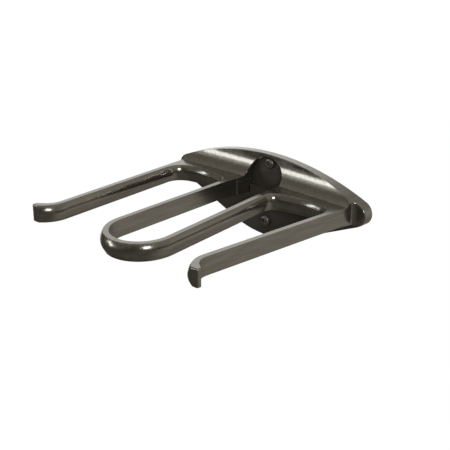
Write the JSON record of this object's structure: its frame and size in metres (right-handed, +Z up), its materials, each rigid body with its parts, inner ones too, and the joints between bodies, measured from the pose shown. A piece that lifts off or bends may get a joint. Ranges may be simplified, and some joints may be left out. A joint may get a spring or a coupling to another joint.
{
  "type": "wall_rack",
  "caption": "Fixed wall rack: a cast crown on a shield-shaped bracket carries outer arms with turned-out tips and a round-nosed centre loop, with open slots between them to hang things in.",
  "frame": {"origin": "on the centre line, on the wall plane (the bracket's back face), level with the flat tops of the arms", "axes": "+Z up, +Y into the wall, the rack stands out from the wall towards -Y, +X to the right when facing the wall"},
  "size_m": [0.2036, 0.1869, 0.0709],
  "materials": {
    "casting_metal": "gloss bronze-grey lacquer on cast metal",
    "bracket_black": "satin black",
    "wall_screw_steel": "dark plated",
    "fixing_screw_steel": "zinc plated"
  },
  "bodies": {
    "root": {"rack_casting": "casting_metal", "wall_bracket": "bracket_black", "upper_wall_screw": "wall_screw_steel", "lower_wall_screw": "wall_screw_steel", "fixing_screw_1": "fixing_screw_steel", "fixing_screw_2": "fixing_screw_steel", "fixing_screw_3": "fixing_screw_steel", "fixing_screw_4": "fixing_screw_steel"}
  },
  "joints": []
}
